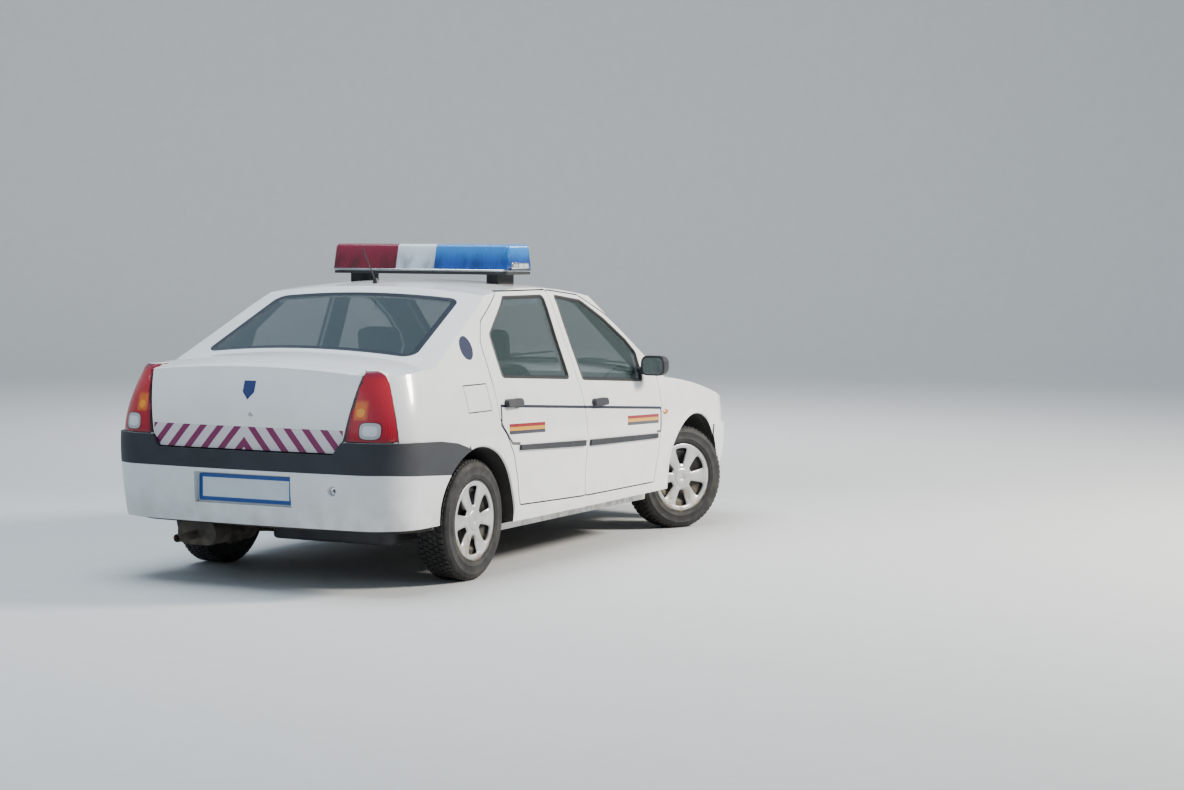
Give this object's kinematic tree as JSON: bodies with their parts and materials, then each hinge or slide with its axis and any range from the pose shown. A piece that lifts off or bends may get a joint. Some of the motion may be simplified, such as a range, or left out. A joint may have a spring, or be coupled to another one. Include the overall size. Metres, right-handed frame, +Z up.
{
  "type": "police patrol car",
  "caption": "Four-door patrol saloon with roof light bar, opening doors, bonnet and boot lid, and steered front wheels.",
  "frame": {"origin": "on the ground under the middle of the car's length and width", "axes": "+X forward, +Y to the car's left, +Z up"},
  "size_m": [4.2704, 1.998, 1.6879],
  "materials": {
    "black_plastic": "satin",
    "bumper_white": "gloss",
    "cabin_plastic": "matt",
    "cast": "matt",
    "fabric": "matt",
    "glass": "clear",
    "grey_plastic": "satin",
    "lamp_blue": "gloss",
    "lamp_clear": "gloss",
    "lamp_red": "gloss",
    "lens_white": "gloss",
    "plate": "satin",
    "steel": "satin",
    "tyre": "matt",
    "wheel": "satin",
    "white_paint": "gloss"
  },
  "bodies": {
    "body": {"body_shell": "white_paint", "front_wings": "white_paint", "cowl_panel": "black_plastic", "windscreen": "glass", "rear_window": "glass", "front_bumper": "bumper_white", "rear_bumper": "bumper_white", "rear_bumper_band": "grey_plastic", "grille": "grey_plastic", "head_lamps": "lamp_clear", "tail_lamps": "lamp_red", "lightbar_base": "black_plastic", "lightbar_red": "lamp_red", "lightbar_clear": "lens_white", "lightbar_blue": "lamp_blue", "antenna": "black_plastic", "front_subframe": "cast", "rear_axle": "cast", "engine_block": "cast", "exhaust": "steel", "dashboard": "cabin_plastic", "seats": "fabric", "number_plates": "plate", "fuel_tank": "black_plastic"},
    "bonnet": {"bonnet": "white_paint"},
    "boot_lid": {"boot_lid": "white_paint"},
    "fuel_flap": {"fuel_flap": "white_paint"},
    "steering_wheel": {"steering_wheel": "cabin_plastic"},
    "door_front_left": {"door_front_left": "white_paint", "door_glass_front_left": "glass", "door_trim_front_left": "grey_plastic"},
    "door_front_right": {"door_front_right": "white_paint", "door_glass_front_right": "glass", "door_trim_front_right": "grey_plastic"},
    "door_rear_left": {"door_rear_left": "white_paint", "door_glass_rear_left": "glass", "door_trim_rear_left": "grey_plastic"},
    "door_rear_right": {"door_rear_right": "white_paint", "door_glass_rear_right": "glass", "door_trim_rear_right": "grey_plastic"},
    "knuckle_left": {"knuckle_front_left": "cast"},
    "wheel_front_left": {"wheel_front_left": "wheel", "tyre_front_left": "tyre"},
    "knuckle_right": {"knuckle_front_right": "cast"},
    "wheel_front_right": {"wheel_front_right": "wheel", "tyre_front_right": "tyre"},
    "wheel_rear_left": {"wheel_rear_left": "wheel", "tyre_rear_left": "tyre"},
    "wheel_rear_right": {"wheel_rear_right": "wheel", "tyre_rear_right": "tyre"}
  },
  "joints": [
    {"name": "door_front_left_hinge", "type": "hinge", "parent": "body", "child": "door_front_left", "pos_m": [0.869, 0.8635, 0.65], "axis": [0, 0, -1], "range_deg": [0, 65]},
    {"name": "door_front_right_hinge", "type": "hinge", "parent": "body", "child": "door_front_right", "pos_m": [0.869, -0.8635, 0.65], "axis": [0, 0, 1], "range_deg": [0, 65]},
    {"name": "door_rear_left_hinge", "type": "hinge", "parent": "body", "child": "door_rear_left", "pos_m": [-0.102, 0.8695, 0.65], "axis": [0, 0, -1], "range_deg": [0, 65]},
    {"name": "door_rear_right_hinge", "type": "hinge", "parent": "body", "child": "door_rear_right", "pos_m": [-0.102, -0.8695, 0.65], "axis": [0, 0, 1], "range_deg": [0, 65]},
    {"name": "bonnet_hinge", "type": "hinge", "parent": "body", "child": "bonnet", "pos_m": [1.061, 0, 0.985], "axis": [0, -1, 0], "range_deg": [0, 50]},
    {"name": "boot_lid_hinge", "type": "hinge", "parent": "body", "child": "boot_lid", "pos_m": [-1.611, 0, 1.15], "axis": [0, 1, 0], "range_deg": [0, 70]},
    {"name": "fuel_flap_hinge", "type": "hinge", "parent": "body", "child": "fuel_flap", "pos_m": [-1.1545, -0.857, 0.92], "axis": [0, 0, 1], "range_deg": [0, 95]},
    {"name": "steer_left", "type": "hinge", "parent": "body", "child": "knuckle_left", "pos_m": [1.3695, 0.65, 0.305], "axis": [0, 0, 1], "range_deg": [-8, 62]},
    {"name": "roll_front_left", "type": "hinge", "parent": "knuckle_left", "child": "wheel_front_left", "pos_m": [1.40718, 0.72395, 0.305], "axis": [0.454, 0.891, 0], "continuous": true},
    {"name": "steer_right", "type": "hinge", "parent": "body", "child": "knuckle_right", "pos_m": [1.3695, -0.65, 0.305], "axis": [0, 0, 1], "range_deg": [-8, 62]},
    {"name": "roll_front_right", "type": "hinge", "parent": "knuckle_right", "child": "wheel_front_right", "pos_m": [1.33182, -0.72395, 0.305], "axis": [0.454, 0.891, 0], "continuous": true},
    {"name": "roll_rear_left", "type": "hinge", "parent": "body", "child": "wheel_rear_left", "pos_m": [-1.2605, 0.728, 0.305], "axis": [0, 1, 0], "continuous": true},
    {"name": "roll_rear_right", "type": "hinge", "parent": "body", "child": "wheel_rear_right", "pos_m": [-1.2605, -0.728, 0.305], "axis": [0, 1, 0], "continuous": true},
    {"name": "steering_wheel_turn", "type": "hinge", "parent": "body", "child": "steering_wheel", "pos_m": [0.455, 0.345, 0.8], "axis": [-0.9135, 0, 0.4067], "range_deg": [-121, 931]}
  ],
  "couplings": [
    {"joint": "steer_right", "follows": "steer_left", "ratio": 1},
    {"joint": "steering_wheel_turn", "follows": "steer_left", "ratio": 15}
  ]
}
